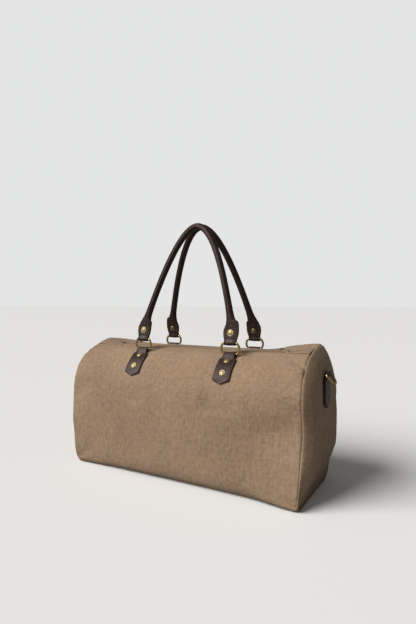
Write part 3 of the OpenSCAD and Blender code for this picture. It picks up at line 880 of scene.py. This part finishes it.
def handle_leather(name, side):
    """The rolled grip with its flat tabs and their folds, its centreline and the runs along it."""
    place = handle_place(side)
    line = arch_line()
    runs = [0.0]
    for a, b in zip(line, line[1:]):
        runs.append(runs[-1] + (b - a).length)
    total = runs[-1]
    sides = 44
    points = []
    for i, here in enumerate(line):
        run = min(runs[i], total - runs[i])
        soft, sharp, d = (read_off(t, run) for t in (width_by_run, sharp_by_run, depth_by_run))
        power = 2 + 3.5 * (1 - ease((run - 0.012) / 0.040))
        along = (line[min(i + 1, len(line) - 1)] - line[max(i - 1, 0)]).normalized()
        across = Vector((along.y, -along.x))
        rolled = ease((run - 0.030) / 0.030)
        for k in range(sides):
            a = 2 * math.pi * k / sides
            c, s = math.cos(a), math.sin(a)
            w = sharp if c * across.x * side < 0 else soft
            u = w * math.copysign(abs(c) ** (2 / power), c)
            h = d * math.copysign(abs(s) ** (2 / power), s)
            if k == sides // 4:
                h -= 0.0016 * rolled
            elif abs(k - sides // 4) == 1:
                h += 0.0003 * rolled
            if rolled < 1 and abs(abs(u) - (w - 0.0030)) < 0.0009:
                h *= 1 - 0.13 * (1 - rolled)
            at = here + across * u
            points.append(place(at.x, at.y, h + 0.00015 * noise.noise(Vector((run * 90, a, side)))))
    roll = face_out(add_mesh(name, points, tube_faces(len(line), sides)))
    parts = [roll]
    for label, x in ring_places:
        def folded(p, s, x=x):
            return place(x + s, p.y, p.x)
        loop = [Vector((0.0017, v)) for v in (0.016, 0.012, 0.008, 0.0055)]
        loop += turn(Vector((0, 0)), fold_mid, 28, -208, 18)
        loop += [Vector((-0.0017, v)) for v in (0.0055, 0.008, 0.012, 0.016)]
        spread = [0.0152, 0.0145, 0.0140, 0.0136]
        halves = spread + [fold_half] * 19 + spread[::-1]
        parts.append(strap(name + "_loop", loop, halves, [0.0022] * len(loop), folded))
    merged = bmesh.new()
    for part in parts:
        merged.from_mesh(part.data)
    merged.to_mesh(roll.data)
    merged.free()
    for part in parts[1:]:
        bpy.data.objects.remove(part)
    roll.data.shade_smooth()
    return roll, line, runs


sewn_from, seam_off, seam_high = 0.075, 0.0026, 0.0068
tab_face = 0.0030
rim = [(-0.0108, 0.004), (-0.0118, 0.010), (-0.0135, 0.018), (-0.0134, 0.025), (-0.0108, 0.033)]
for end, side in long_sides:
    body = "handle_" + end
    piece, line, runs = handle_leather(body + "_leather", side)
    finish_piece(piece, leather, body, "leather", body + "_grip", body + "_end_left", body + "_end_right")
    place = handle_place(side)
    sewn = []
    for i in range(1, len(line) - 1):
        if sewn_from < runs[i] < runs[-1] - sewn_from:
            along = (line[i + 1] - line[i - 1]).normalized()
            at = line[i] + Vector((along.y, -along.x)) * seam_off
            sewn.append(place(at.x, at.y, seam_high))
    edges = [sewn]
    for label, x in ring_places:
        for face in (1, -1):
            for way in (1, -1):
                edges.append([place(x + way * s, v, face * tab_face) for s, v in rim])
    stitches(body + "_stitches", edges, body, "leather", brown_thread, 0.0036, 0.0026, 0.0008)
rope_paint, tree, shader = material("rope", (0.5, 0.45, 0.36), 0.9)
lay = node(tree, "ShaderNodeTexWave", {"Vector": own_place(tree), "Scale": 60.0},
    bands_direction="DIAGONAL").outputs["Fac"]
raise_by(tree, shader, lay, 0.6, 0.001)
for end, side in long_sides:
    repaint(f"handle_{end}_core", rope_paint)


# ---- Rivets ----
# Domed antique brass caps on a flat rim. Two hold each chape to the canvas, with a burr inside,
# and one larger pair of caps closes each end of a handle over its fold.
old_brass = brass_material("old_brass", (0.33, 0.265, 0.135), (0.14, 0.105, 0.050), 0.46)


def rivet_tree():
    tree, given = new_tree("rivets", "Seats", ("Radius", "Height"), "Metal", "Rivets")
    dome = node(tree, "GeometryNodeMeshUVSphere", {"Segments": 28, "Rings": 16, "Radius": 0.86}).outputs[0]
    join = node(tree, "GeometryNodeJoinGeometry")
    tree.links.new(dome, join.inputs[0])
    for radius, depth in ((1.0, 0.5), (0.95, 0.72)):
        disc = node(tree, "GeometryNodeMeshCylinder", {"Vertices": 28, "Radius": radius, "Depth": depth})
        tree.links.new(disc.outputs[0], join.inputs[0])
    out = node(tree, "GeometryNodeInputNamedAttribute", {"Name": "out"}, data_type="FLOAT_VECTOR").outputs[0]
    turned = node(tree, "FunctionNodeAlignRotationToVector", {"Vector": out}, axis="Z").outputs[0]
    size = node(tree, "ShaderNodeCombineXYZ", {0: given["Radius"], 1: given["Radius"],
        2: given["Height"]}).outputs[0]
    placed = node(tree, "GeometryNodeInstanceOnPoints", {"Points": given["Seats"],
        "Instance": join.outputs[0], "Rotation": turned, "Scale": size}).outputs[0]
    return end_tree(tree, placed, given["Metal"])


riveting = rivet_tree()


def rivets(name, seats, radius, height, body, *nodes):
    """seats is a list of (place, direction out of the leather)."""
    mesh = bpy.data.meshes.new(name)
    mesh.from_pydata([tuple(p) for p, _ in seats], [], [])
    out = mesh.attributes.new("out", "FLOAT_VECTOR", "POINT")
    for i, (_, direction) in enumerate(seats):
        out.data[i].vector = direction
    made = grown(name, riveting, mesh, {"Radius": radius, "Height": height, "Metal": old_brass})
    made.data.shade_smooth()
    made.data.set_sharp_from_angle(angle=math.radians(50))
    return finish_piece(made, old_brass, body, "brass", *nodes)


cap_up, cap_out = 0.020, 0.0033
for end, side in long_sides:
    seats = []
    for label, x in ring_places:
        for angle in (fold_angle - 11, fold_angle - 26.5):
            p = around_crown(angle, shoulder_r + 0.0030)
            a = math.radians(angle)
            seats.append((Vector((x, side * p.x, p.y)), Vector((0, side * math.cos(a), math.sin(a)))))
    rivets(f"chape_rivets_{end}_brass", seats, 0.0058, 0.0022, "bag", f"chape_rivets_{end}")
    place = handle_place(side)
    out = place(0, 0, 1) - place(0, 0, 0)
    caps = [(place(x, cap_up, cap_out), out) for label, x in ring_places]
    rivets(f"handle_{end}_rivet_caps", caps, 0.0068, 0.0023, "handle_" + end, f"handle_{end}_rivets")
    backs = [(place(x, cap_up, -cap_out), -out) for label, x in ring_places]
    rivets(f"handle_{end}_rivet_backs", backs, 0.0054, 0.0019, "handle_" + end)
    repaint(f"chape_burrs_{end}", brass)


# ---- End tabs and D-rings ----
# A folded leather tab is sewn to the middle of each end, just forward of its centre line.
# The strap's D-ring hangs in the fold, held out a little by the stiff leather.
tab_box = [Vector(c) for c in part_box("end_tab_right")]
tab_y = (tab_box[0].y + tab_box[1].y) / 2
d_box = [Vector(c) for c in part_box("d_ring_right")]
face_x = tab_box[0].x
bar_at = Vector((tab_box[1].x - 0.00445, d_box[1].z - wire_r))
strap_half = 0.018
d_fold_half = 0.0115
d_half, d_drop = 0.0172, 0.0215
d_lean = math.radians(38)
for label, side in short_ends:
    def on_end(p, s, side=side):
        return Vector((side * p.x, tab_y + s, p.y))
    tip = tab_box[0].z
    steps = 16
    path = [Vector((face_x + 0.0022, tip + (0.218 - tip) * i / steps)) for i in range(steps + 1)]
    halves = [min(strap_half, 0.0006 + (p.y - tip) / 0.0099 * strap_half) for p in path]
    path += [Vector((face_x + 0.0030, 0.2225)), Vector((face_x + 0.0052, 0.2268)),
        Vector((bar_at.x + 0.0029, bar_at.y - 0.0020))]
    halves += [0.0168, 0.0138, 0.0118]
    loop = turn(bar_at, fold_mid, 0, 185, 14)
    path += loop + [Vector((face_x + 0.0015, bar_at.y - 0.006))]
    halves += [d_fold_half] * (len(loop) + 1)
    thicks = [0.0040] * (steps + 1) + [0.0036, 0.0028, 0.0023] + [0.0021] * (len(loop) + 1)
    finish_piece(strap(f"end_tab_{label}_leather", path, halves, thicks, on_end), leather, "bag",
        "leather", f"end_tab_{label}")
    edge = strap_half - 0.0030
    rise = [(edge, tip + 0.0095 + 0.004 * i) for i in range(11)]
    outline = [(s, z) for s, z in reversed(rise)] + [(edge * k / 5, tip + 0.0016 + 0.0079 * k / 5)
        for k in (4, 3, 2, 1, 0)]
    outline += [(-s, z) for s, z in reversed(outline[:-1])]
    row = [on_end(Vector((face_x + 0.0041, z)), s) for s, z in outline]
    stitches(f"end_tab_stitches_{label}", [row], "bag", "leather", brown_thread)

    def leaning(p, s, side=side):
        out, drop = math.sin(d_lean), math.cos(d_lean)
        return Vector((side * (bar_at.x - p.y * out + s * drop), tab_y + p.x,
            bar_at.y + p.y * drop + s * out))
    bow = [(d_half * math.cos(math.radians(a)), -d_drop * math.sin(math.radians(a)))
        for a in range(12, 169, 12)]
    corners = [(0.0, 0.0), (0.007, 0.0), (0.0132, 0.0), (0.0158, -0.0010)] + bow
    corners += [(-0.0158, -0.0010), (-0.0132, 0.0), (-0.007, 0.0)]
    finish_piece(wire_loop(f"d_ring_{label}_wire", closed_curve(corners, 4), wire_shown, leaning), brass,
        f"d_ring_{label}", "brass", f"d_ring_{label}")


# ---- Zip ----
# Brass teeth are clamped on the edges of two woven tapes. The slider, with its long flat pull,
# is parked past the end of the opening when the bag is closed.
zip_brass = brass_material("zip_brass", (0.45, 0.34, 0.18), (0.22, 0.15, 0.08), 0.35)
tape_cloth, tree, shader = material("tape_cloth", (0.11, 0.08, 0.055), 0.9)
ribs = node(tree, "ShaderNodeTexWave", {"Vector": own_place(tree), "Scale": 260.0},
    bands_direction="X").outputs["Fac"]
raise_by(tree, shader, ribs, 0.4, 0.0004)
for name in ("zip_tape_front", "zip_tape_back", "zip_end_right", "zip_end_left"):
    repaint(name, tape_cloth)
repaint("zip_stops", zip_brass)
teeth_box = [Vector(c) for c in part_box("zip_teeth_back")]


def tooth_tree():
    tree, given = new_tree("zip_teeth", "Edge", ("Pitch", "Reach", "Height"), "Metal", "Teeth")
    spaced = spaced_along(tree, given["Edge"], given["Pitch"])
    width = node(tree, "ShaderNodeMath", {0: given["Pitch"], 1: 0.55}, operation="MULTIPLY").outputs[0]
    size = node(tree, "ShaderNodeCombineXYZ", {0: width, 1: given["Reach"], 2: given["Height"]}).outputs[0]
    block = node(tree, "GeometryNodeMeshCube", {"Size": size}).outputs[0]
    placed = node(tree, "GeometryNodeInstanceOnPoints", {"Points": spaced, "Instance": block}).outputs[0]
    return end_tree(tree, placed, given["Metal"])


toothing = tooth_tree()
tooth_pitch, tooth_high, row_gap = 0.0030, 0.0023, 0.002
for end, side in long_sides:
    y = side * (teeth_box[0].y + teeth_box[1].y) / 2
    z = (teeth_box[0].z + teeth_box[1].z) / 2
    row = [Vector((x, y, z)) for x in (-mouth_half + row_gap, mouth_half - row_gap)]
    teeth = grown(f"zip_teeth_{end}_brass", toothing, line_mesh("row", [row]), {"Pitch": tooth_pitch,
        "Reach": teeth_box[1].y - teeth_box[0].y, "Height": tooth_high, "Metal": zip_brass})
    finish_piece(teeth, zip_brass, end + "_lip", "zip_metal", f"zip_teeth_{end}")
pale_metal, tree, shader = material("pale_metal", (0.66, 0.63, 0.57), 0.3, 1.0)
scuff = node(tree, "ShaderNodeTexNoise", {"Vector": own_place(tree), "Scale": 420.0,
    "Detail": 4.0}).outputs[0]
gloss = node(tree, "ShaderNodeMapRange", {0: scuff, 1: 0.3, 2: 0.7, 3: 0.22, 4: 0.42})
tree.links.new(gloss.outputs[0], shader.inputs["Roughness"])
raise_by(tree, shader, scuff, 0.1, 0.0003)
repaint("zip_slider", pale_metal)
repaint("zip_pull", pale_metal)
